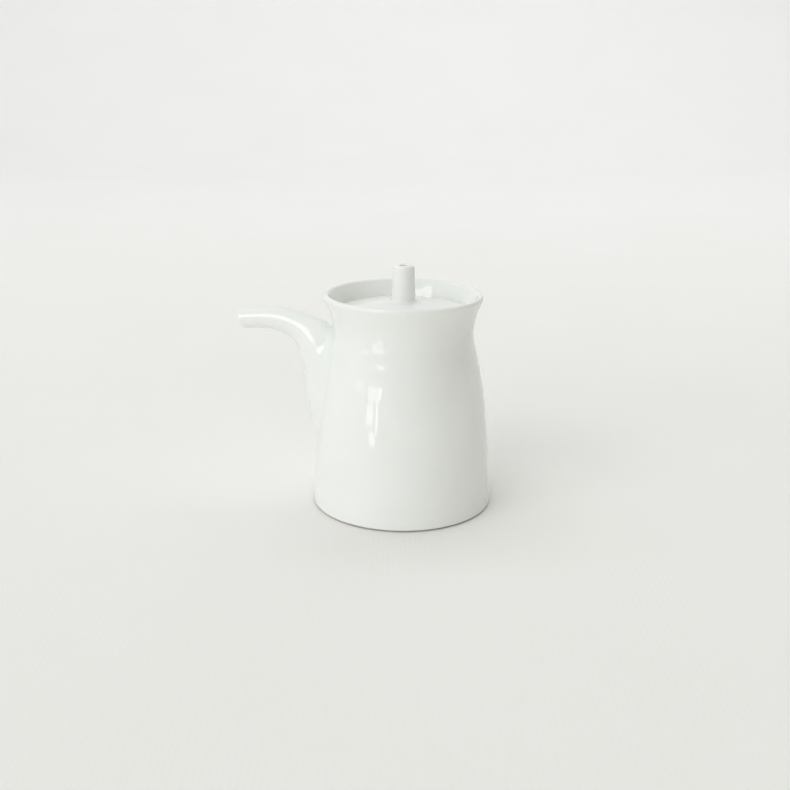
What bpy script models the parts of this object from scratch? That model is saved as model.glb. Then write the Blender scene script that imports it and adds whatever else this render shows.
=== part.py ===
"""A small porcelain pouring pot with a curved spout and a lift-off lid.

The pot stands on its flat base. Its axis is Z, the table is z = 0, and the spout points to -X.
All lengths are in metres.
"""

import math

import bmesh
import bpy
import numpy as np

GAP = 0.0003
TURN_STEPS = 56
KNOB_STEPS = 32
ARC_STEP = 30
MERGE_DISTANCE = 0.00001

# Body: outer wall as (height, radius), from the foot to the underside of the lip.
BODY_WALL = (
    (0.0010, 0.0340),
    (0.0240, 0.0326),
    (0.0440, 0.0305),
    (0.0580, 0.0277),
    (0.0665, 0.0262),
    (0.0730, 0.0272),
    (0.0791, 0.0294),
)
BODY_WALL_POINTS = 17
INNER_WALL_POINTS = 9
WALL = 0.0028
LIP_RADIUS = 0.0011
LIP_CENTRE = (0.02839, 0.07955)
LIP_LEAN = math.radians(23)
FLOOR_TOP = 0.0034
FLOOR_FILLET = 0.0050
FOOT_BEVEL = 0.0009

# Seat for the lid: a bore below the flare, and a ledge around a narrower throat.
SEAT_RADIUS = 0.0242
SEAT_TOP = 0.0750
LEDGE_TOP = 0.0710
THROAT_RADIUS = 0.0212
THROAT_BOTTOM = 0.0690
THROAT_ROUND = 0.0006
INNER_WALL_TOP = 0.0640

# Lid: a shallow dome with a locating flange below and a vent through the middle.
VENT_RADIUS = 0.0015
LID_RADIUS = 0.0237
LID_CROWN = 0.0778
LID_DOME_RADIUS = 0.0930
LID_THICKNESS = 0.0026
LID_TOP_POINTS = 7
LID_UNDERSIDE_POINTS = 5
LID_EDGE_ROUND = 0.0009
FLANGE_RADIUS = 0.0206
FLANGE_WALL = 0.0024
FLANGE_BOTTOM = 0.0672
FLANGE_ROUND = 0.0008

# Knob on the lid.
KNOB_TOP = 0.0910
KNOB_TOP_RADIUS = 0.00405
KNOB_FOOT_RADIUS = 0.00435
KNOB_TOP_ROUND = 0.0009
KNOB_FILLET = 0.0016
KNOB_BRIM = 0.0003

# Spout: centre line as (distance from the axis, height, outer radius), from the tip to inside the body.
SPOUT_ROUTE = (
    (0.0670, 0.0677, 0.0041),
    (0.0543, 0.0689, 0.0041),
    (0.0456, 0.0684, 0.0048),
    (0.0396, 0.0663, 0.0057),
    (0.0332, 0.0612, 0.0078),
    (0.0295, 0.0537, 0.0094),
    (0.0274, 0.0438, 0.0102),
    (0.0246, 0.0352, 0.0107),
    (0.0180, 0.0280, 0.0104),
)
SPOUT_WALL = 0.0015
SPOUT_RESOLUTION = 5
SPOUT_SIDES_RESOLUTION = 8
TIP_DISTANCE = 0.0628
TIP_HEIGHT = 0.0680
TIP_SLANT = math.radians(20)
TIP_CUTTER_SIZE = 0.0200

# Hole through the body's wall into the spout.
POUR_HOLE_RADIUS = 0.0050
POUR_HOLE_HEIGHT = 0.0460
POUR_HOLE_DISTANCE = 0.0290
POUR_HOLE_DEPTH = 0.0120
POUR_HOLE_SIDES = 32

PORCELAIN = (0.84, 0.86, 0.84, 1.0)
GLAZE_ROUGHNESS = 0.13


def clear_scene():
    """Remove every object of the start-up scene."""
    for old in list(bpy.data.objects):
        bpy.data.objects.remove(old, do_unlink=True)


def new_collection(name):
    """Make a collection under the scene's own."""
    collection = bpy.data.collections.new(name)
    bpy.context.scene.collection.children.link(collection)
    return collection


def porcelain(name):
    """Make one white ceramic material."""
    material = bpy.data.materials.new(name)
    material.use_nodes = True
    shader = material.node_tree.nodes["Principled BSDF"]
    shader.inputs["Base Color"].default_value = PORCELAIN
    shader.inputs["Roughness"].default_value = GLAZE_ROUGHNESS
    shader.inputs["Metallic"].default_value = 0.0
    return material


def wall_radius(heights):
    """Radius of the outer wall at each height: a natural cubic spline through BODY_WALL."""
    knots, radii = np.array(BODY_WALL).T
    step = np.diff(knots)
    slope = np.diff(radii) / step
    count = len(knots)
    matrix = np.eye(count)
    rhs = np.zeros(count)
    for i in range(1, count - 1):
        matrix[i, i - 1:i + 2] = step[i - 1], 2 * (step[i - 1] + step[i]), step[i]
        rhs[i] = 6 * (slope[i] - slope[i - 1])
    bend = np.linalg.solve(matrix, rhs)
    heights = np.atleast_1d(heights)
    at = np.clip(np.searchsorted(knots, heights) - 1, 0, count - 2)
    below = heights - knots[at]
    first = slope[at] - step[at] * (2 * bend[at] + bend[at + 1]) / 6
    curve = bend[at] / 2 + below * (bend[at + 1] - bend[at]) / (6 * step[at])
    return radii[at] + below * (first + below * curve)


def arc(centre, radius, start, end):
    """Points of an arc in the (radius, height) plane, with angles in degrees from +radius."""
    steps = math.ceil(abs(end - start) / ARC_STEP)
    points = []
    for angle in np.radians(np.linspace(start, end, steps + 1)):
        points.append((centre[0] + radius * math.cos(angle), centre[1] + radius * math.sin(angle)))
    return points


def outer_wall(grow=0.0):
    """Points down the outer wall, from the lip to the foot."""
    heights = np.linspace(BODY_WALL[-1][0], BODY_WALL[0][0], BODY_WALL_POINTS)
    return list(zip(wall_radius(heights) + grow, heights))


def body_profile():
    """The body's section, from the middle of the inner floor over the lip to the middle of the base."""
    lean = math.degrees(LIP_LEAN)
    inner_heights = np.linspace(FLOOR_TOP + FLOOR_FILLET, INNER_WALL_TOP, INNER_WALL_POINTS)
    inner_wall = list(zip(wall_radius(inner_heights) - WALL, inner_heights))
    corner = (inner_wall[0][0] - FLOOR_FILLET, FLOOR_TOP + FLOOR_FILLET)
    throat_edge = (THROAT_RADIUS + THROAT_ROUND, LEDGE_TOP - THROAT_ROUND)
    foot_bevel = (BODY_WALL[0][1] - FOOT_BEVEL, FOOT_BEVEL)

    profile = [(0.0, FLOOR_TOP)]
    profile += arc(corner, FLOOR_FILLET, 270, 360)
    profile += inner_wall[1:]
    profile.append((THROAT_RADIUS, THROAT_BOTTOM))
    profile += arc(throat_edge, THROAT_ROUND, 180, 90)
    profile += [(SEAT_RADIUS, LEDGE_TOP), (SEAT_RADIUS, SEAT_TOP)]
    profile += arc(LIP_CENTRE, LIP_RADIUS, 180 - lean, -lean)
    profile += outer_wall()[1:-1]
    profile += arc(foot_bevel, FOOT_BEVEL, 0, -90)
    profile.append((0.0, 0.0))
    return profile


def dome_height(radius):
    """Height of the lid's top at a distance from the axis."""
    return LID_CROWN - LID_DOME_RADIUS + math.sqrt(LID_DOME_RADIUS ** 2 - radius ** 2)


def lid_profile():
    """The lid's section, a ring around the vent."""
    dome_edge = LID_RADIUS - LID_EDGE_ROUND
    edge_height = dome_height(dome_edge) - LID_EDGE_ROUND
    seat = LEDGE_TOP + GAP
    flange_inner = FLANGE_RADIUS - FLANGE_WALL
    flange_foot = FLANGE_BOTTOM + FLANGE_ROUND

    top_radii = np.linspace(VENT_RADIUS, dome_edge, LID_TOP_POINTS)
    profile = [(radius, dome_height(radius)) for radius in top_radii]
    profile += arc((dome_edge, edge_height), LID_EDGE_ROUND, 90, 0)[1:]
    profile += [(LID_RADIUS, seat + GAP), (LID_RADIUS - GAP, seat), (FLANGE_RADIUS, seat)]
    profile += arc((FLANGE_RADIUS - FLANGE_ROUND, flange_foot), FLANGE_ROUND, 0, -90)
    profile += arc((flange_inner + FLANGE_ROUND, flange_foot), FLANGE_ROUND, -90, -180)
    for radius in np.linspace(flange_inner, VENT_RADIUS, LID_UNDERSIDE_POINTS):
        profile.append((radius, dome_height(radius) - LID_THICKNESS))
    return profile


def knob_profile():
    """The knob's section, a ring around the vent, standing a gap above the lid."""
    round_centre = (KNOB_TOP_RADIUS - KNOB_TOP_ROUND, KNOB_TOP - KNOB_TOP_ROUND)
    brim_radius = KNOB_FOOT_RADIUS + KNOB_FILLET
    brim_height = dome_height(brim_radius) + GAP
    fillet_centre = (brim_radius, brim_height + KNOB_BRIM + KNOB_FILLET)

    profile = [(VENT_RADIUS, KNOB_TOP)]
    profile += arc(round_centre, KNOB_TOP_ROUND, 90, 0)
    profile += arc(fillet_centre, KNOB_FILLET, 180, 270)
    profile.append((brim_radius, brim_height))
    profile.append((VENT_RADIUS, dome_height(VENT_RADIUS) + GAP))
    return profile


def turned(name, profile, closed, steps, collection, material=None):
    """Turn a profile in the XZ plane about Z with a Screw modifier."""
    count = len(profile)
    edges = [(i, i + 1) for i in range(count - 1)]
    if closed:
        edges.append((count - 1, 0))
    mesh = bpy.data.meshes.new(name)
    mesh.from_pydata([(radius, 0.0, height) for radius, height in profile], edges, [])
    if material:
        mesh.materials.append(material)
    piece = bpy.data.objects.new(name, mesh)
    collection.objects.link(piece)
    screw = piece.modifiers.new("Turn", "SCREW")
    screw.axis = "Z"
    screw.steps = steps
    screw.render_steps = steps
    screw.use_merge_vertices = True
    screw.merge_threshold = MERGE_DISTANCE
    screw.use_smooth_shade = True
    return piece


def spout_tube(name, thinner, collection, material=None):
    """A tube along the spout's route, made as a bevelled curve and kept as a closed mesh."""
    curve = bpy.data.curves.new(name, "CURVE")
    curve.dimensions = "3D"
    curve.bevel_depth = 1.0
    curve.bevel_resolution = SPOUT_SIDES_RESOLUTION
    curve.resolution_u = SPOUT_RESOLUTION
    curve.render_resolution_u = SPOUT_RESOLUTION
    curve.use_fill_caps = True
    spline = curve.splines.new("BEZIER")
    spline.radius_interpolation = "CARDINAL"
    spline.bezier_points.add(len(SPOUT_ROUTE) - 1)
    for point, (distance, height, radius) in zip(spline.bezier_points, SPOUT_ROUTE):
        point.co = (-distance, 0.0, height)
        point.handle_left_type = "AUTO"
        point.handle_right_type = "AUTO"
        point.radius = radius - thinner
    guide = bpy.data.objects.new(name + "_curve", curve)
    collection.objects.link(guide)

    evaluated = guide.evaluated_get(bpy.context.evaluated_depsgraph_get())
    mesh = bpy.data.meshes.new_from_object(evaluated)
    mesh.name = name
    shape = bmesh.new()
    shape.from_mesh(mesh)
    bmesh.ops.remove_doubles(shape, verts=shape.verts, dist=MERGE_DISTANCE)
    bmesh.ops.recalc_face_normals(shape, faces=shape.faces)
    shape.to_mesh(mesh)
    shape.free()
    mesh.shade_smooth()
    mesh.materials.clear()
    if material:
        mesh.materials.append(material)
    tube = bpy.data.objects.new(name, mesh)
    tube.matrix_world = guide.matrix_world
    collection.objects.link(tube)
    bpy.data.objects.remove(guide, do_unlink=True)
    return tube


def as_cutter(piece, collection):
    """Keep a cutter out of the model: its own collection, no render, wire display."""
    for home in list(piece.users_collection):
        home.objects.unlink(piece)
    collection.objects.link(piece)
    piece.hide_render = True
    piece.display_type = "WIRE"
    return piece


def cut(piece, cutter):
    """Subtract a cutter with an exact Boolean."""
    boolean = piece.modifiers.new("Cut " + cutter.name, "BOOLEAN")
    boolean.operation = "DIFFERENCE"
    boolean.solver = "EXACT"
    boolean.object = cutter


def make_body(parts, cutters):
    """The turned vessel with its pour hole."""
    glaze = porcelain("body_glaze")
    body = turned("pot_body", body_profile(), False, TURN_STEPS, parts, glaze)
    bpy.ops.mesh.primitive_cylinder_add(
        vertices=POUR_HOLE_SIDES,
        radius=POUR_HOLE_RADIUS,
        depth=POUR_HOLE_DEPTH,
        location=(-POUR_HOLE_DISTANCE, 0.0, POUR_HOLE_HEIGHT),
        rotation=(0.0, math.pi / 2, 0.0),
    )
    hole = bpy.context.object
    hole.name = "pour_hole"
    cut(body, as_cutter(hole, cutters))


def make_spout(parts, cutters):
    """The hollow spout, cut to the body's wall, slanted at the tip and bored through."""
    spout = spout_tube("spout", 0.0, parts, porcelain("spout_glaze"))

    solid = [(0.0, BODY_WALL[-1][0])] + outer_wall(GAP) + [(0.0, BODY_WALL[0][0])]
    cut(spout, as_cutter(turned("body_solid", solid, False, TURN_STEPS, cutters), cutters))

    bpy.ops.mesh.primitive_cube_add(size=TIP_CUTTER_SIZE)
    tip = bpy.context.object
    tip.name = "tip_cut"
    reach = TIP_CUTTER_SIZE / 2
    tip.location = (
        -TIP_DISTANCE - reach * math.cos(TIP_SLANT),
        0.0,
        TIP_HEIGHT - reach * math.sin(TIP_SLANT),
    )
    tip.rotation_euler = (0.0, -TIP_SLANT, 0.0)
    cut(spout, as_cutter(tip, cutters))

    cut(spout, as_cutter(spout_tube("spout_bore", SPOUT_WALL, cutters), cutters))


def make_lid(parts):
    """The lid and the knob that stands on it."""
    turned("lid", lid_profile(), True, TURN_STEPS, parts, porcelain("lid_glaze"))
    turned("lid_knob", knob_profile(), True, KNOB_STEPS, parts, porcelain("knob_glaze"))


def main():
    clear_scene()
    parts = new_collection("Porcelain pouring pot")
    cutters = new_collection("Cutters")
    make_body(parts, cutters)
    make_spout(parts, cutters)
    make_lid(parts)


main()
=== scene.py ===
"""White glazed pouring pot on a pale cloth-covered table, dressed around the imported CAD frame.

Everything is in the row frame: metres, +Z up, the pot's axis on Z and the spout towards -X.
"""

import math

import bmesh
import bpy
import numpy as np
from mathutils import Matrix, Vector


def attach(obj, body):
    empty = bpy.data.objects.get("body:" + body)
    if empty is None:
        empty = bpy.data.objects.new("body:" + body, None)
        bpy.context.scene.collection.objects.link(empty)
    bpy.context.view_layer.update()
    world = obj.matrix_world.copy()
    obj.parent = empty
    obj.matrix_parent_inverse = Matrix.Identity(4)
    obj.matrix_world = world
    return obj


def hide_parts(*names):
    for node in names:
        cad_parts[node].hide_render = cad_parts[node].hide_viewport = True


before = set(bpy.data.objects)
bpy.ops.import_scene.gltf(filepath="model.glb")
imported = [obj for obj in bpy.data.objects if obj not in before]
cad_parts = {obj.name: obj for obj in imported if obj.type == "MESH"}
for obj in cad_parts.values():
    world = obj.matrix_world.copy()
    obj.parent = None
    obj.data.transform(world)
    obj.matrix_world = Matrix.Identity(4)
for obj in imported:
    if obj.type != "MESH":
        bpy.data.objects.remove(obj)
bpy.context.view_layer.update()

# ---------------------------------------------------------------- dimensions

# These follow the CAD part, apart from the edges of the seat, lid and foot, which the glaze softens.

# Outer wall of the body as (height, radius), foot to lip.
BODY_WALL = (
    (0.0010, 0.0340),
    (0.0240, 0.0326),
    (0.0440, 0.0305),
    (0.0580, 0.0277),
    (0.0665, 0.0262),
    (0.0730, 0.0272),
    (0.0791, 0.0294),
)
WALL = 0.0028
LIP_RADIUS = 0.0011
LIP_CENTRE = (0.02839, 0.07955)
LIP_LEAN = 23.0
FLOOR_TOP = 0.0034
FLOOR_FILLET = 0.0050
FOOT_ROUND = 0.0005
FOOT_STEP_IN = 0.0010
SEAT_RADIUS = 0.0242
SEAT_TOP = 0.0741
SEAT_ROUND = 0.0008
SEAT_ROUND_END = 150.0
FLARE_HOLLOW = (-0.00015, 0.00025)
LEDGE_TOP = 0.0710
THROAT_RADIUS = 0.0212
THROAT_ROUND = 0.0006
INNER_WALL_TOP = 0.0640

VENT_RADIUS = 0.0015
VENT_ROUND = 0.0003
LID_RADIUS = 0.0239
LID_CROWN = 0.0778
LID_DOME_RADIUS = 0.0930
LID_THICKNESS = 0.0026
LID_EDGE_ROUND = 0.0012
LID_UNDER_ROUND = 0.0005
LID_SEAT = 0.0713
FLANGE_RADIUS = 0.0206
FLANGE_WALL = 0.0024
FLANGE_BOTTOM = 0.0672
FLANGE_ROUND = 0.0008

KNOB_TOP = 0.0910
KNOB_TOP_RADIUS = 0.00405
KNOB_FOOT_RADIUS = 0.00435
KNOB_TOP_ROUND = 0.0009
KNOB_TOP_ROUND_END = 3.0
KNOB_FILLET = 0.0016
# How far the knob's foot runs out over the lid, and how deep it reaches into it.
KNOB_SKIRT = 0.0008
KNOB_ROOT = 0.0010

# Centre line of the spout as (distance from the axis, height, outer radius), from beyond the tip inwards.
SPOUT_ROUTE = (
    (0.0670, 0.0677, 0.0041),
    (0.0543, 0.0689, 0.0041),
    (0.0456, 0.0684, 0.0048),
    (0.0396, 0.0663, 0.0057),
    (0.0332, 0.0612, 0.0078),
    (0.0295, 0.0537, 0.0094),
    (0.0274, 0.0438, 0.0102),
    (0.0246, 0.0352, 0.0107),
    (0.0180, 0.0280, 0.0104),
)
SPOUT_WALL = 0.0015
TIP_DISTANCE = 0.0628
TIP_HEIGHT = 0.0680
TIP_SLANT = math.radians(20)
POUR_HOLE_RADIUS = 0.0050
POUR_HOLE_HEIGHT = 0.0460
POUR_HOLE_DISTANCE = 0.0290
POUR_HOLE_DEPTH = 0.0120

# ---------------------------------------------------------------- mesh detail

TURN_STEPS = 180
KNOB_STEPS = 96
ARC_STEP = 9.0
WALL_POINTS = 90
FLARE_PARTS = 8
LID_TOP_POINTS = 40
LID_UNDER_POINTS = 24
POUR_HOLE_SIDES = 64
SPOUT_SIDES = 96
SPOUT_SAMPLES = 700
TUBE_ROWS = 44
TIP_ROWS = 9
BORE_ROWS = 50
ROOT_ROWS = 56
ROOT_START = (0.0396, 0.0663)
ROOT_CENTRE_HEIGHT = 0.0480
ROOT_REACH = (0.002, 0.034)
ROOT_REACH_SAMPLES = 161
ROOT_TURNS = 121
BLEND_TOP = 0.0018
BLEND_UNDER = 0.0036
BLEND_SIDE = 0.0060
BLEND_FADE = (0.0570, 0.0700)
BLEND_HALF_WIDTH = 0.0090
BLEND_REACH = 1.2
SPREAD_ROUNDS = 7
LEAST_SLOPE = 0.2
# A skirt that ends on another piece sinks this far into it, over this last part of the spout's root.
SINK = 0.00003
SINK_PART = 0.1


def natural_spline(knots, values, at):
    """Natural cubic spline through rows of values at knots, read at each entry of at."""
    knots = np.asarray(knots, float)
    values = np.asarray(values, float)
    step = np.diff(knots)
    slope = np.diff(values, axis=0) / step[:, None]
    count = len(knots)
    matrix = np.eye(count)
    rhs = np.zeros_like(values)
    for i in range(1, count - 1):
        matrix[i, i - 1:i + 2] = step[i - 1], 2 * (step[i - 1] + step[i]), step[i]
        rhs[i] = 6 * (slope[i] - slope[i - 1])
    bend = np.linalg.solve(matrix, rhs)
    at = np.atleast_1d(at)
    span = np.clip(np.searchsorted(knots, at) - 1, 0, count - 2)
    below = (at - knots[span])[:, None]
    width = step[span][:, None]
    first = slope[span] - width * (2 * bend[span] + bend[span + 1]) / 6
    curve = bend[span] / 2 + below * (bend[span + 1] - bend[span]) / (6 * width)
    return values[span] + below * (first + below * curve)


WALL_KNOTS = np.array(BODY_WALL)[:, 0]
WALL_RADII = np.array(BODY_WALL)[:, 1:]


def wall_radius(heights):
    """Radius of the body's outer wall at each height."""
    return natural_spline(WALL_KNOTS, WALL_RADII, heights)[:, 0]


def arc(centre, radius, start, end):
    """Points of an arc in the (radius, height) plane, angles in degrees from +radius."""
    steps = max(2, math.ceil(abs(end - start) / ARC_STEP))
    angles = np.radians(np.linspace(start, end, steps + 1))
    return [(centre[0] + radius * math.cos(a), centre[1] + radius * math.sin(a)) for a in angles]


def supported(points, longest=0.0016, near=0.00012):
    """The same outline with long straight runs divided, and a point close to each end of them."""
    result = [points[0]]
    for start, end in zip(points, points[1:]):
        start, end = np.array(start), np.array(end)
        length = np.linalg.norm(end - start)
        if length > longest:
            stops = [near / length]
            parts = max(1, math.ceil((length - 2 * near) / longest))
            stops += [near / length + (1 - 2 * near / length) * i / parts for i in range(1, parts + 1)]
            result += [tuple(start + (end - start) * stop) for stop in stops]
        result.append(tuple(end))
    return result


def finish_mesh(name, vertices, faces):
    """A smooth-shaded object from vertices and faces, with its faces turned outwards."""
    mesh = bpy.data.meshes.new(name)
    mesh.from_pydata([tuple(v) for v in vertices], [], faces)
    shape = bmesh.new()
    shape.from_mesh(mesh)
    bmesh.ops.recalc_face_normals(shape, faces=shape.faces)
    shape.to_mesh(mesh)
    shape.free()
    mesh.shade_smooth()
    piece = bpy.data.objects.new(name, mesh)
    bpy.context.scene.collection.objects.link(piece)
    return piece


def turned(name, profile, closed, steps):
    """A solid turned about Z from (radius, height) points. Points on the axis become one vertex."""
    angles = np.linspace(0, 2 * math.pi, steps, endpoint=False)
    vertices, rows = [], []
    for radius, height in profile:
        if radius < 1e-7:
            rows.append([len(vertices)] * steps)
            vertices.append((0.0, 0.0, height))
        else:
            rows.append(list(range(len(vertices), len(vertices) + steps)))
            vertices += [(radius * math.cos(a), radius * math.sin(a), height) for a in angles]
    pairs = list(zip(rows, rows[1:]))
    if closed:
        pairs.append((rows[-1], rows[0]))
    faces = []
    for upper, lower in pairs:
        for i in range(steps):
            corners = (upper[i], upper[(i + 1) % steps], lower[(i + 1) % steps], lower[i])
            faces.append(tuple(dict.fromkeys(corners)))
    return finish_mesh(name, vertices, faces)


# ---------------------------------------------------------------- the turned pieces


def body_profile():
    """Section of the body, from the middle of the inner floor over the lip to the middle of the base."""
    inner_heights = np.linspace(FLOOR_TOP + FLOOR_FILLET, INNER_WALL_TOP, WALL_POINTS // 2)
    inner_wall = list(zip(wall_radius(inner_heights) - WALL, inner_heights))
    corner = (inner_wall[0][0] - FLOOR_FILLET, FLOOR_TOP + FLOOR_FILLET)
    throat_edge = (THROAT_RADIUS + THROAT_ROUND, LEDGE_TOP - THROAT_ROUND)
    seat_edge = (SEAT_RADIUS + SEAT_ROUND, SEAT_TOP - SEAT_ROUND)
    heights = np.linspace(BODY_WALL[-1][0], BODY_WALL[0][0], WALL_POINTS)
    outer_wall = list(zip(wall_radius(heights), heights))
    foot = (BODY_WALL[0][1] - FOOT_ROUND, BODY_WALL[0][0])
    foot_step = [(foot[0] - FOOT_STEP_IN / 2, foot[1] - FOOT_ROUND), (foot[0] - FOOT_STEP_IN, 0.0)]

    inside = [(0.0, FLOOR_TOP)] + arc(corner, FLOOR_FILLET, 270, 360) + inner_wall[1:]
    inside += arc(throat_edge, THROAT_ROUND, 180, 90) + [(SEAT_RADIUS, LEDGE_TOP)]
    flare_start = arc(seat_edge, SEAT_ROUND, 180, SEAT_ROUND_END)
    lip = arc(LIP_CENTRE, LIP_RADIUS, 180 - LIP_LEAN, -LIP_LEAN)
    flare = flare_curve(flare_start[-1], lip[0])
    outside = outer_wall[1:-1] + arc(foot, FOOT_ROUND, 0, -90) + foot_step + [(0.0, 0.0)]
    return supported(inside + flare_start + flare + lip + outside)


def flare_curve(start, end):
    """The mouth's inner flare: a shallow hollow curve from the lid's bore up to the lip."""
    start, end = np.array(start), np.array(end)
    control = (start + end) / 2 + np.array(FLARE_HOLLOW)
    stops = np.linspace(0, 1, FLARE_PARTS + 1)[1:-1, None]
    points = (1 - stops) ** 2 * start + 2 * stops * (1 - stops) * control + stops ** 2 * end
    return [tuple(p) for p in points]


def dome_height(radius):
    """Height of the lid's top at a distance from the axis."""
    return LID_CROWN - LID_DOME_RADIUS + math.sqrt(LID_DOME_RADIUS ** 2 - radius ** 2)


def lid_profile():
    """Section of the lid, a ring around the vent."""
    dome_edge = LID_RADIUS - LID_EDGE_ROUND
    tilt = math.degrees(math.asin(dome_edge / LID_DOME_RADIUS))
    edge_height = dome_height(dome_edge) - LID_EDGE_ROUND * math.cos(math.radians(tilt))
    edge_centre = (dome_edge - LID_EDGE_ROUND * math.sin(math.radians(tilt)), edge_height)
    grow = LID_RADIUS - edge_centre[0] - LID_EDGE_ROUND
    edge_centre = (edge_centre[0] + grow, edge_centre[1])
    inner = FLANGE_RADIUS - FLANGE_WALL
    foot = FLANGE_BOTTOM + FLANGE_ROUND
    under_centre = (LID_RADIUS - LID_UNDER_ROUND, LID_SEAT + LID_UNDER_ROUND)

    profile = [(r, dome_height(r)) for r in np.linspace(VENT_RADIUS, dome_edge + grow / 2, LID_TOP_POINTS)]
    profile += arc(edge_centre, LID_EDGE_ROUND, 90 - tilt, 0)[1:]
    profile += arc(under_centre, LID_UNDER_ROUND, 0, -90)
    profile += [(FLANGE_RADIUS, LID_SEAT)]
    profile += arc((FLANGE_RADIUS - FLANGE_ROUND, foot), FLANGE_ROUND, 0, -90)
    profile += arc((inner + FLANGE_ROUND, foot), FLANGE_ROUND, -90, -180)
    under = np.linspace(inner, VENT_RADIUS, LID_UNDER_POINTS)
    profile += [(r, dome_height(r) - LID_THICKNESS) for r in under]
    return supported(profile)


def knob_profile():
    """Section of the knob, with its foot flowing into the lid and a soft edge around the vent."""
    top_centre = (KNOB_TOP_RADIUS - KNOB_TOP_ROUND, KNOB_TOP - KNOB_TOP_ROUND)
    tilt = math.degrees(math.asin((KNOB_FOOT_RADIUS + KNOB_FILLET) / LID_DOME_RADIUS))
    foot_radius = KNOB_FOOT_RADIUS + KNOB_FILLET * (1 - math.sin(math.radians(tilt)))
    fillet_height = dome_height(foot_radius) + KNOB_FILLET * math.cos(math.radians(tilt))
    fillet_centre = (KNOB_FOOT_RADIUS + KNOB_FILLET, fillet_height)
    vent_edge = (VENT_RADIUS + VENT_ROUND, KNOB_TOP - VENT_ROUND)

    profile = arc(vent_edge, VENT_ROUND, 180, 90)
    profile += arc(top_centre, KNOB_TOP_ROUND, 90, KNOB_TOP_ROUND_END)
    profile += arc(fillet_centre, KNOB_FILLET, 180, 270 - tilt)
    profile += [(foot_radius + KNOB_SKIRT, dome_height(foot_radius + KNOB_SKIRT) - SINK)]
    profile += [(radius, dome_height(radius) - KNOB_ROOT) for radius in (foot_radius, VENT_RADIUS)]
    return supported(profile)


def pour_hole(body):
    """Cut the hole that leads from the body into the spout, with an exact Boolean that is then applied."""
    bpy.ops.mesh.primitive_cylinder_add(
        vertices=POUR_HOLE_SIDES,
        radius=POUR_HOLE_RADIUS,
        depth=POUR_HOLE_DEPTH,
        location=(-POUR_HOLE_DISTANCE, 0.0, POUR_HOLE_HEIGHT),
        rotation=(0.0, math.pi / 2, 0.0),
    )
    cutter = bpy.context.object
    boolean = body.modifiers.new("Pour hole", "BOOLEAN")
    boolean.operation = "DIFFERENCE"
    boolean.solver = "EXACT"
    boolean.object = cutter
    evaluated = body.evaluated_get(bpy.context.evaluated_depsgraph_get())
    cut_mesh = bpy.data.meshes.new_from_object(evaluated)
    cut_mesh.name = body.name
    body.modifiers.clear()
    body.data = cut_mesh
    bpy.data.objects.remove(cutter, do_unlink=True)


# ---------------------------------------------------------------- the spout


def spout_line():
    """Centre, direction and outer radius at evenly spaced samples of the spout's route."""
    route = np.array(SPOUT_ROUTE)
    chords = np.linalg.norm(np.diff(route[:, :2], axis=0), axis=1)
    knots = np.concatenate([[0], np.cumsum(chords)])
    at = np.linspace(0, knots[-1], SPOUT_SAMPLES)
    values = natural_spline(knots, route, at)
    centre = np.stack([-values[:, 0], np.zeros(SPOUT_SAMPLES), values[:, 1]], 1)
    direction = np.gradient(centre, at, axis=0)
    direction /= np.linalg.norm(direction, axis=1)[:, None]
    return centre, direction, values[:, 2]


CENTRE, ALONG, RADIUS = spout_line()
OVER = np.stack([-ALONG[:, 2], np.zeros(SPOUT_SAMPLES), ALONG[:, 0]], 1)
ACROSS = np.array((0.0, 1.0, 0.0))


def tube_lines(angle, thinner=0.0):
    """The tube's surface line at one angle: 0 is the top of the spout, 180 its underside."""
    ring = math.cos(angle) * OVER + math.sin(angle) * ACROSS
    return CENTRE + (RADIUS - thinner)[:, None] * ring


def read_line(line, place):
    """Points of a sampled line at fractional sample numbers."""
    place = np.asarray(place, float)
    low = np.clip(np.floor(place).astype(int), 0, len(line) - 2)
    part = (place - low)[:, None]
    return line[low] * (1 - part) + line[low + 1] * part


def crossing(values, rising=True):
    """Fractional sample number where values first pass zero."""
    sign = 1 if rising else -1
    over = np.nonzero(sign * values > 0)[0]
    first = over[0]
    low, high = values[first - 1], values[first]
    return first - 1 + low / (low - high)


def body_distance(points):
    """Signed distance from the body's outer wall, close to the wall."""
    heights = np.clip(points[:, 2], BODY_WALL[0][0], BODY_WALL[-1][0])
    reach = 1e-5
    slope = (wall_radius(heights + reach) - wall_radius(heights - reach)) / (2 * reach)
    radius = np.hypot(points[:, 0], points[:, 1])
    return (radius - wall_radius(heights)) / np.sqrt(1 + slope ** 2)


def tube_distance(points):
    """Signed distance from the spout's outer surface."""
    nearest = ((CENTRE ** 2).sum(1) - 2 * points @ CENTRE.T).argmin(1)
    low = np.clip(nearest - 1, 0, SPOUT_SAMPLES - 2)
    along = ((points - CENTRE[nearest]) * ALONG[nearest]).sum(1)
    across = np.linalg.norm(points - CENTRE[nearest] - along[:, None] * ALONG[nearest], axis=1)
    pitch = np.linalg.norm(CENTRE[low + 1] - CENTRE[low], axis=1)
    growth = (RADIUS[low + 1] - RADIUS[low]) / pitch
    return (across - RADIUS[nearest] - growth * along) / np.sqrt(1 + growth ** 2)


def blend_width(points):
    """Width of the soft fillet at the spout's root: wide at the sides, tighter above and below."""
    side = np.clip(np.abs(points[:, 1]) / BLEND_HALF_WIDTH, 0, 1)
    side = side * side * (3 - 2 * side)
    wide = BLEND_UNDER + (BLEND_SIDE - BLEND_UNDER) * side
    part = np.clip((points[:, 2] - BLEND_FADE[0]) / (BLEND_FADE[1] - BLEND_FADE[0]), 0, 1)
    part = part * part * (3 - 2 * part)
    return wide + (BLEND_TOP - wide) * part


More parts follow.
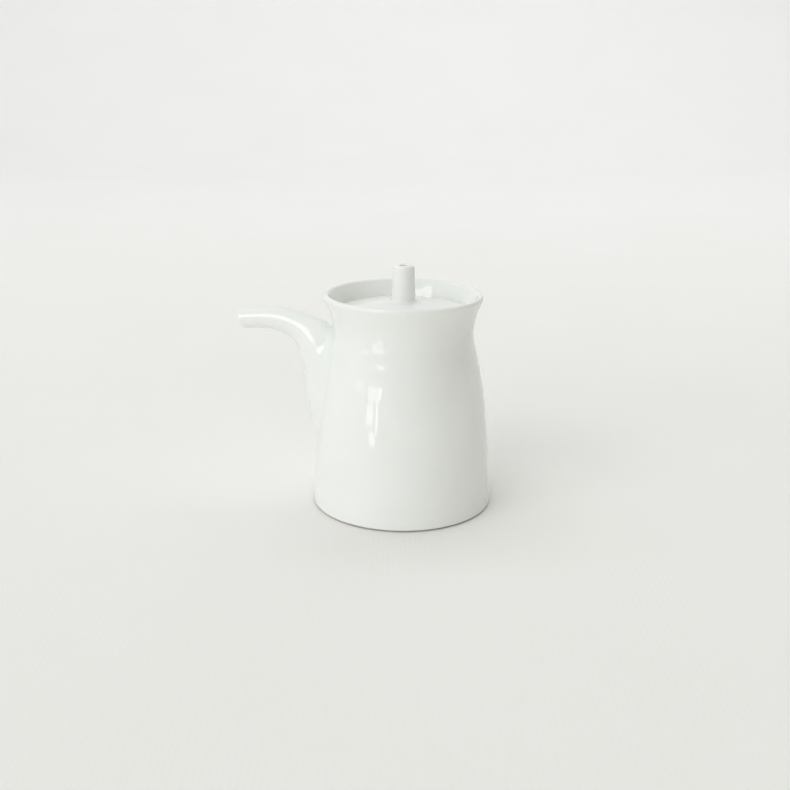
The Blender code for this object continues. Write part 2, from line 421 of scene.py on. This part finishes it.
def joined_distance(points):
    """Distance from the body and the spout together, with a rounded inner corner between them."""
    wall, tube, width = body_distance(points), tube_distance(points), blend_width(points)
    close = np.clip(width - np.abs(wall - tube), 0, None) / width
    return np.minimum(wall, tube) - close ** 2 * width / 4


def settle(points, rounds=4, reach=2e-5):
    """Move points along the field's slope until they lie on the joined surface."""
    for _ in range(rounds):
        value = joined_distance(points)
        slope = np.zeros_like(points)
        for axis in range(3):
            shift = np.zeros(3)
            shift[axis] = reach
            slope[:, axis] = joined_distance(points + shift) - joined_distance(points - shift)
        slope /= 2 * reach
        points = points - (value / np.maximum((slope ** 2).sum(1), LEAST_SLOPE))[:, None] * slope
    return points


def spread(rows):
    """Rows of points moved along their columns until each column is evenly spaced."""
    steps = np.linalg.norm(np.diff(rows, axis=0), axis=2)
    result = rows.copy()
    for column in range(rows.shape[1]):
        lengths = np.concatenate([[0], np.cumsum(steps[:, column])])
        wanted = np.linspace(0, lengths[-1], len(rows))
        for axis in range(3):
            result[:, column, axis] = np.interp(wanted, lengths, rows[:, column, axis])
    return result


def root_outline(count):
    """Closed, evenly spaced outline on the body's wall, just outside the spout's fillet, from its top."""
    turns = np.linspace(0, math.pi, ROOT_TURNS)
    reach = np.linspace(*ROOT_REACH, ROOT_REACH_SAMPLES)
    half = []
    for turn in turns:
        height = ROOT_CENTRE_HEIGHT + reach * math.cos(turn)
        radius = wall_radius(height)
        swing = reach * math.sin(turn) / radius
        points = np.stack([-radius * np.cos(swing), radius * np.sin(swing), height], 1)
        clear = tube_distance(points) - BLEND_REACH * blend_width(points)
        half.append(read_line(points, [crossing(clear)])[0])
    half = np.array(half)
    lengths = np.concatenate([[0], np.cumsum(np.linalg.norm(np.diff(half, axis=0), axis=1))])
    wanted = np.linspace(0, lengths[-1], count // 2 + 1)
    side = np.stack([np.interp(wanted, lengths, half[:, k]) for k in range(3)], 1)
    side = on_wall(side)
    mirrored = side[1:-1][::-1] * np.array((1, -1, 1))
    return np.concatenate([side, mirrored])


def on_wall(points):
    """Points moved straight out or in onto the body's outer wall."""
    radius = np.hypot(points[:, 0], points[:, 1])
    scale = wall_radius(points[:, 2]) / radius
    return np.stack([points[:, 0] * scale, points[:, 1] * scale, points[:, 2]], 1)


def spout_rows():
    """Rows of points: down the outside from tip to root, then from inside the body up to the tip."""
    angles = np.linspace(0, 2 * math.pi, SPOUT_SIDES, endpoint=False)
    tip_point = np.array((-TIP_DISTANCE, 0.0, TIP_HEIGHT))
    tip_normal = np.array((-math.cos(TIP_SLANT), 0.0, -math.sin(TIP_SLANT)))
    root_start = np.array((-ROOT_START[0], ROOT_START[1]))
    start = np.linalg.norm(CENTRE[:, [0, 2]] - root_start, axis=1).argmin()
    half_wall = SPOUT_WALL / 2

    outer, inner, lips = [], [], []
    for angle in angles:
        line = tube_lines(angle)
        bore = tube_lines(angle, SPOUT_WALL)
        outer_tip = crossing(-(line - tip_point) @ tip_normal - half_wall)
        inner_tip = crossing(-(bore - tip_point) @ tip_normal - half_wall)
        outer.append(read_line(line, np.linspace(outer_tip, start, TUBE_ROWS)))
        depth = body_distance(bore[start:]) + WALL / 2
        inner_end = start + crossing(depth, rising=False)
        inner.append(read_line(bore, np.linspace(inner_end, inner_tip, BORE_ROWS)))
        middle = (outer[-1][0] + inner[-1][-1]) / 2
        half = (outer[-1][0] - inner[-1][-1]) / 2
        turns = np.linspace(math.pi, 0, TIP_ROWS + 2)[1:-1, None]
        lips.append(middle + half * np.cos(turns) + tip_normal * np.linalg.norm(half) * np.sin(turns))

    outer, inner, lips = (np.array(a).transpose(1, 0, 2) for a in (outer, inner, lips))
    outline = root_outline(SPOUT_SIDES)
    ring = outer[-1]
    stops = np.linspace(0, 1, ROOT_ROWS + 1)[:, None, None]
    root = ring * (1 - stops) + outline * stops
    for _ in range(SPREAD_ROUNDS):
        root = spread(root)
        root[1:-1] = settle(root[1:-1].reshape(-1, 3)).reshape(root[1:-1].shape)
    root, stops = root[1:], stops[1:]
    outward = root * np.array((1, 1, 0))
    outward /= np.linalg.norm(outward, axis=2)[:, :, None]
    fade = np.clip((stops - 1 + SINK_PART) / SINK_PART, 0, 1) ** 2
    root = root - outward * fade * SINK
    return np.concatenate([outer, root, inner, lips])


def make_spout():
    """The hollow spout as one closed mesh whose root runs tangent into the body."""
    rows = spout_rows()
    count, sides = rows.shape[:2]
    faces = []
    for row in range(count):
        following = (row + 1) % count
        for side in range(sides):
            turn = (side + 1) % sides
            corners = (row * sides + side, row * sides + turn)
            faces.append(corners + (following * sides + turn, following * sides + side))
    return finish_mesh("glazed_spout", rows.reshape(-1, 3), faces)


# ---------------------------------------------------------------- materials


class Nodes:
    """Short calls for building one node material."""

    def __init__(self, name):
        self.material = bpy.data.materials.new(name)
        self.material.use_nodes = True
        self.tree = self.material.node_tree
        self.shader = self.tree.nodes["Principled BSDF"]
        self.place = self.add("ShaderNodeTexCoord").outputs["Object"]

    def add(self, kind, **settings):
        node = self.tree.nodes.new(kind)
        for key, value in settings.items():
            setattr(node, key, value)
        return node

    def join(self, source, target):
        self.tree.links.new(source, target)

    def noise(self, scale, detail=2.0, rough=0.5, where=None):
        node = self.add("ShaderNodeTexNoise")
        node.inputs["Scale"].default_value = scale
        node.inputs["Detail"].default_value = detail
        node.inputs["Roughness"].default_value = rough
        self.join(where or self.place, node.inputs["Vector"])
        return node.outputs["Fac"]

    def ramp(self, value, low, high, out_low=0.0, out_high=1.0):
        node = self.add("ShaderNodeMapRange")
        node.inputs["From Min"].default_value = low
        node.inputs["From Max"].default_value = high
        node.inputs["To Min"].default_value = out_low
        node.inputs["To Max"].default_value = out_high
        self.join(value, node.inputs["Value"])
        return node.outputs["Result"]

    def math(self, operation, first, second):
        node = self.add("ShaderNodeMath", operation=operation)
        for socket, value in zip(node.inputs, (first, second)):
            if isinstance(value, (int, float)):
                socket.default_value = value
            else:
                self.join(value, socket)
        return node.outputs["Value"]

    def mix(self, factor, first, second):
        node = self.add("ShaderNodeMix", data_type="RGBA")
        for socket, value in ((node.inputs[0], factor), (node.inputs[6], first), (node.inputs[7], second)):
            if isinstance(value, (int, float, tuple)):
                socket.default_value = value
            else:
                self.join(value, socket)
        return node.outputs[2]

    def height(self):
        node = self.add("ShaderNodeSeparateXYZ")
        self.join(self.place, node.inputs[0])
        return node.outputs["Z"]

    def bump(self, value, distance, strength=1.0, before=None):
        node = self.add("ShaderNodeBump")
        node.inputs["Strength"].default_value = strength
        node.inputs["Distance"].default_value = distance
        self.join(value, node.inputs["Height"])
        if before:
            self.join(before, node.inputs["Normal"])
        return node.outputs["Normal"]


GLAZE = (0.865, 0.882, 0.862, 1.0)
GLAZE_THIN = (0.880, 0.884, 0.858, 1.0)
GLAZE_POOL = (0.852, 0.876, 0.852, 1.0)
SPECK = (0.52, 0.50, 0.44, 1.0)
BISQUE = (0.56, 0.53, 0.47, 1.0)
BISQUE_GRAIN = (0.48, 0.45, 0.40, 1.0)
GLAZE_ROUGHNESS = (0.035, 0.070)
GLAZE_IOR = 1.52
GLAZE_DEPTH = 0.0018
GLAZE_DEPTH_SHARE = 0.12
GLAZE_DEPTH_TINT = (1.0, 0.92, 0.80)
# Noise scales, in spots per metre, and bump heights, in metres.
POOL_SCALE = 55.0
THIN_SCALE = 160.0
SPECK_SCALE = 190.0
WEAR_SCALE = 420.0
WAVE_SCALE, WAVE_HEIGHT = 75.0, 0.00022
PITS_SCALE, PITS_HEIGHT = 900.0, 0.000012
GRAIN_SCALE, GRAIN_HEIGHT = 2600.0, 0.00005
# The clay is bare below this height, and the glaze ends over this distance.
BARE_TOP = 0.0008
BARE_EDGE = 0.0002
BARE_ROUGHNESS = 0.62

CLOTH = (0.868, 0.862, 0.840, 1.0)
CLOTH_PALE = (0.880, 0.876, 0.856, 1.0)
CLOTH_CLOUD_SCALE = 9.0
CLOTH_ROUGHNESS = 0.95
CLOTH_SHEEN = 0.15
THREAD_SCALE = 170.0
CROSS_THREAD_SHARE = 0.35
SLUB_SCALE = 60.0
WEAVE_HEIGHT = 0.00007
WEAVE_STRENGTH = 0.35


def glazed_porcelain(name, bare_foot=False):
    """Glossy white glaze with slow waves, faint pooling and a few specks, and bare clay underneath."""
    n = Nodes(name)
    clouds = n.ramp(n.noise(POOL_SCALE, 3.0), 0.35, 0.65)
    colour = n.mix(clouds, GLAZE, GLAZE_POOL)
    thin = n.ramp(n.noise(THIN_SCALE, 2.0), 0.52, 0.72, 0.0, 0.5)
    colour = n.mix(thin, colour, GLAZE_THIN)
    specks = n.add("ShaderNodeTexVoronoi", feature="F1")
    specks.inputs["Scale"].default_value = SPECK_SCALE
    n.join(n.place, specks.inputs["Vector"])
    speck = n.ramp(specks.outputs["Distance"], 0.020, 0.045, 0.35, 0.0)
    colour = n.mix(speck, colour, SPECK)
    rough = n.ramp(n.noise(WEAR_SCALE, 2.0), 0.3, 0.7, *GLAZE_ROUGHNESS)
    wavy = n.bump(n.noise(WAVE_SCALE, 1.5, 0.45), WAVE_HEIGHT)
    normal = n.bump(n.noise(PITS_SCALE, 2.0, 0.5), PITS_HEIGHT, before=wavy)
    if bare_foot:
        bare = n.ramp(n.height(), BARE_TOP, BARE_TOP - BARE_EDGE)
        grain = n.ramp(n.noise(GRAIN_SCALE, 3.0, 0.6), 0.3, 0.7)
        clay = n.mix(grain, BISQUE, BISQUE_GRAIN)
        colour = n.mix(bare, colour, clay)
        rough = n.math("MAXIMUM", rough, n.math("MULTIPLY", bare, BARE_ROUGHNESS))
        normal = n.bump(n.math("MULTIPLY", grain, bare), GRAIN_HEIGHT, before=normal)
    n.join(colour, n.shader.inputs["Base Color"])
    n.join(rough, n.shader.inputs["Roughness"])
    n.join(normal, n.shader.inputs["Normal"])
    n.shader.inputs["IOR"].default_value = GLAZE_IOR
    n.shader.inputs["Subsurface Weight"].default_value = GLAZE_DEPTH_SHARE
    n.shader.inputs["Subsurface Radius"].default_value = GLAZE_DEPTH_TINT
    n.shader.inputs["Subsurface Scale"].default_value = GLAZE_DEPTH
    return n.material


def table_cloth():
    """Pale cloth with a fine upright weave, hardly visible."""
    n = Nodes("pale_cloth")
    turn = n.add("ShaderNodeMapping")
    turn.inputs["Rotation"].default_value = (0.0, 0.0, -SPOUT_TURN)
    n.join(n.place, turn.inputs["Vector"])
    turned_place = turn.outputs["Vector"]
    threads = n.add("ShaderNodeTexWave", wave_type="BANDS", bands_direction="X")
    threads.inputs["Scale"].default_value = THREAD_SCALE
    threads.inputs["Distortion"].default_value = 1.2
    threads.inputs["Detail"].default_value = 2.0
    n.join(turned_place, threads.inputs["Vector"])
    cross = n.add("ShaderNodeTexWave", wave_type="BANDS", bands_direction="Y")
    cross.inputs["Scale"].default_value = THREAD_SCALE
    cross.inputs["Distortion"].default_value = 1.5
    n.join(turned_place, cross.inputs["Vector"])
    cross_part = n.math("MULTIPLY", cross.outputs["Fac"], CROSS_THREAD_SHARE)
    weave = n.math("ADD", threads.outputs["Fac"], cross_part)
    slubs = n.ramp(n.noise(SLUB_SCALE, 4.0), 0.3, 0.7, 0.6, 1.0)
    weave = n.math("MULTIPLY", weave, slubs)
    clouds = n.ramp(n.noise(CLOTH_CLOUD_SCALE, 3.0), 0.3, 0.7)
    n.join(n.mix(clouds, CLOTH, CLOTH_PALE), n.shader.inputs["Base Color"])
    n.shader.inputs["Roughness"].default_value = CLOTH_ROUGHNESS
    n.shader.inputs["Specular IOR Level"].default_value = CLOTH_SHEEN
    n.join(n.bump(weave, WEAVE_HEIGHT, WEAVE_STRENGTH), n.shader.inputs["Normal"])
    return n.material


# ---------------------------------------------------------------- stage, camera and light

SPOUT_TURN = math.radians(10)
CAMERA_AWAY = 0.38019
CAMERA_HEIGHT = 0.15901
CAMERA_HEADING = -0.00747
CAMERA_PITCH = 0.30019
CAMERA_ROLL = 0.00804
CAMERA_LENS = 47.85
SENSOR_WIDTH = 36.0

# The cloth's extent from the pot's foot, and where it curves up.
CLOTH_NEAR = 5.0
CLOTH_HALF_WIDTH = 5.0
CLOTH_BACK = 1.3
CLOTH_BEND = 0.8
CLOTH_BEND_STEP = 5
CLOTH_TOP = 2.6

ROOM_LEFT = (0.74, 0.745, 0.735, 1.0)
ROOM_RIGHT = (0.28, 0.27, 0.23, 1.0)
# How far towards either side the room's light is still changing, as a cosine.
ROOM_CHANGE = 0.8

WHITE = (1.0, 1.0, 1.0)
MIDDLE = (0.0, 0.0, 0.04)
# Each light as (name, place, target, width and height, power, colour, only in reflections), with places
# and targets right of, beyond and above the pot's foot. The others are left out of reflections.
LIGHTS = (
    ("window", (-1.29, -1.53, 1.2), MIDDLE, (1.8, 1.9), 17.0, (0.975, 0.99, 1.0), False),
    ("window_gloss", (-0.95, -1.15, 0.79), MIDDLE, (0.7, 0.92), 6.8, (0.98, 1.0, 1.0), True),
    ("front_fill", (0.0, -2.0, 0.6), MIDDLE, (1.5, 1.0), 2.8, (1.0, 0.995, 0.98), False),
    ("ceiling", (-0.1, 0.3, 1.8), MIDDLE, (1.6, 1.6), 4.9, WHITE, False),
    ("far_fill", (0.9, 1.0, 1.4), MIDDLE, (2.0, 1.4), 3.6, WHITE, False),
    ("backdrop_light", (0, 0.7, 1.7), (0, 1.9, 0.7), (4.0, 0.6), 14.0, (0.84, 0.875, 1.0), False),
)
# Where the panes are measured from and how far out they stand, as right of and beyond the pot's foot.
PANE_START = (-0.0107, -0.0280)
PANE_AWAY = 0.12
# Each pane as (degrees left of the camera, bottom, top, width, radiance).
PANES = (
    (38.4, 0.0645, 0.0685, 0.026, 0.9),
    (40.4, 0.0530, 0.0630, 0.043, 2.3),
    (29.7, 0.0530, 0.0640, 0.008, 3.3),
    (43.6, 0.0485, 0.0525, 0.023, 2.6),
    (33.9, 0.0200, 0.0515, 0.008, 3.2),
    (45.2, 0.0265, 0.0473, 0.022, 2.6),
    (40.4, 0.0095, 0.0195, 0.018, 3.0),
    (66.0, 0.0530, 0.0640, 0.033, 0.8),
    (-15.0, 0.0500, 0.0680, 0.012, 0.7),
)


def seen(right, away, up):
    """A place given as right of, beyond and above the pot's foot as the camera faces it."""
    return Matrix.Rotation(SPOUT_TURN, 3, "Z") @ Vector((right, away, up))


def make_camera():
    """The camera, close in front of the pot and looking down on it a little."""
    data = bpy.data.cameras.new("camera")
    data.sensor_width = SENSOR_WIDTH
    data.lens = CAMERA_LENS
    data.clip_start = 0.01
    data.clip_end = 50.0
    camera = bpy.data.objects.new("camera", data)
    bpy.context.scene.collection.objects.link(camera)
    level = math.cos(CAMERA_PITCH)
    forward = seen(
        math.sin(CAMERA_HEADING) * level, math.cos(CAMERA_HEADING) * level, -math.sin(CAMERA_PITCH)
    )
    right = forward.cross(Vector((0, 0, 1))).normalized()
    up = right.cross(forward)
    tilted_right = math.cos(CAMERA_ROLL) * right + math.sin(CAMERA_ROLL) * up
    tilted_up = tilted_right.cross(forward)
    turn = Matrix((tilted_right, tilted_up, -forward)).transposed()
    camera.matrix_world = Matrix.Translation(seen(0, -CAMERA_AWAY, CAMERA_HEIGHT)) @ turn.to_4x4()
    bpy.context.scene.camera = camera


def area_light(name, place, target, size, power, colour, only_reflected):
    """A rectangular light facing a target, which shows either in reflections only or in all but them."""
    data = bpy.data.lights.new(name, "AREA")
    data.shape = "RECTANGLE"
    data.size, data.size_y = size
    data.energy = power
    data.color = colour
    light = bpy.data.objects.new(name, data)
    light.location = place
    light.rotation_euler = (Vector(target) - Vector(place)).to_track_quat("-Z", "Y").to_euler()
    light.visible_diffuse = not only_reflected
    light.visible_glossy = only_reflected
    light.visible_camera = False
    bpy.context.scene.collection.objects.link(light)


def make_stage():
    """A pale cloth that runs back and curves up into the backdrop."""
    outline = [(-CLOTH_NEAR, 0.0), (CLOTH_BACK, 0.0)]
    for angle in np.radians(np.arange(CLOTH_BEND_STEP, 91, CLOTH_BEND_STEP)):
        outline.append((CLOTH_BACK + CLOTH_BEND * math.sin(angle), CLOTH_BEND * (1 - math.cos(angle))))
    outline.append((CLOTH_BACK + CLOTH_BEND, CLOTH_TOP))
    vertices, faces = [], []
    for away, up in outline:
        vertices += [seen(-CLOTH_HALF_WIDTH, away, up), seen(CLOTH_HALF_WIDTH, away, up)]
    for i in range(len(outline) - 1):
        faces.append((2 * i, 2 * i + 1, 2 * i + 3, 2 * i + 2))
    cloth = finish_mesh("table_cloth", vertices, faces)
    cloth.data.materials.append(table_cloth())


def make_room():
    """An even room that is brighter and cooler on the window's side than on the other."""
    world = bpy.data.worlds.new("room")
    world.use_nodes = True
    tree = world.node_tree
    place = tree.nodes.new("ShaderNodeTexCoord")
    side = tree.nodes.new("ShaderNodeVectorMath")
    side.operation = "DOT_PRODUCT"
    side.inputs[1].default_value = seen(1, 0, 0)
    part = tree.nodes.new("ShaderNodeMapRange")
    part.inputs["From Min"].default_value = -ROOM_CHANGE
    part.inputs["From Max"].default_value = ROOM_CHANGE
    tint = tree.nodes.new("ShaderNodeMix")
    tint.data_type = "RGBA"
    tint.inputs[6].default_value = ROOM_LEFT
    tint.inputs[7].default_value = ROOM_RIGHT
    tree.links.new(place.outputs["Generated"], side.inputs[0])
    tree.links.new(side.outputs["Value"], part.inputs["Value"])
    tree.links.new(part.outputs["Result"], tint.inputs[0])
    tree.links.new(tint.outputs[2], tree.nodes["Background"].inputs["Color"])
    bpy.context.scene.world = world


def pane(name, turn, low, high, width, radiance):
    """One pane of the tall window's broken reflection: a small upright light seen only in the glaze."""
    foot = seen(*PANE_START, 0)
    angle = math.radians(turn)
    place = foot + seen(-math.sin(angle), -math.cos(angle), 0) * PANE_AWAY
    place.z = (low + high) / 2
    size = (width, high - low)
    target = (foot.x, foot.y, place.z)
    area_light(name, place, target, size, radiance * math.pi * size[0] * size[1], WHITE, True)


def make_light():
    """Soft daylight from a broad window on the left, over a pale room with a lit backdrop."""
    make_room()
    for name, place, target, size, power, colour, only_reflected in LIGHTS:
        area_light(name, seen(*place), seen(*target), size, power, colour, only_reflected)
    for i, row in enumerate(PANES):
        pane(f"pane_{i}", *row)


def dress(piece, body, node, material):
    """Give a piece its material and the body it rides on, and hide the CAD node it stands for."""
    piece.data.materials.clear()
    piece.data.materials.append(material)
    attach(piece, body)
    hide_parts(node)


body = turned("glazed_body", body_profile(), False, TURN_STEPS)
pour_hole(body)
dress(body, "pot", "pot_body", glazed_porcelain("glaze_body", bare_foot=True))
dress(make_spout(), "pot", "spout", glazed_porcelain("glaze_spout"))
lid = turned("glazed_lid", lid_profile(), True, TURN_STEPS)
dress(lid, "lid", "lid", glazed_porcelain("glaze_lid"))
knob = turned("glazed_knob", knob_profile(), True, KNOB_STEPS)
dress(knob, "lid", "lid_knob", glazed_porcelain("glaze_knob"))

make_stage()
make_camera()
make_light()
bpy.context.scene.view_settings.view_transform = "Standard"
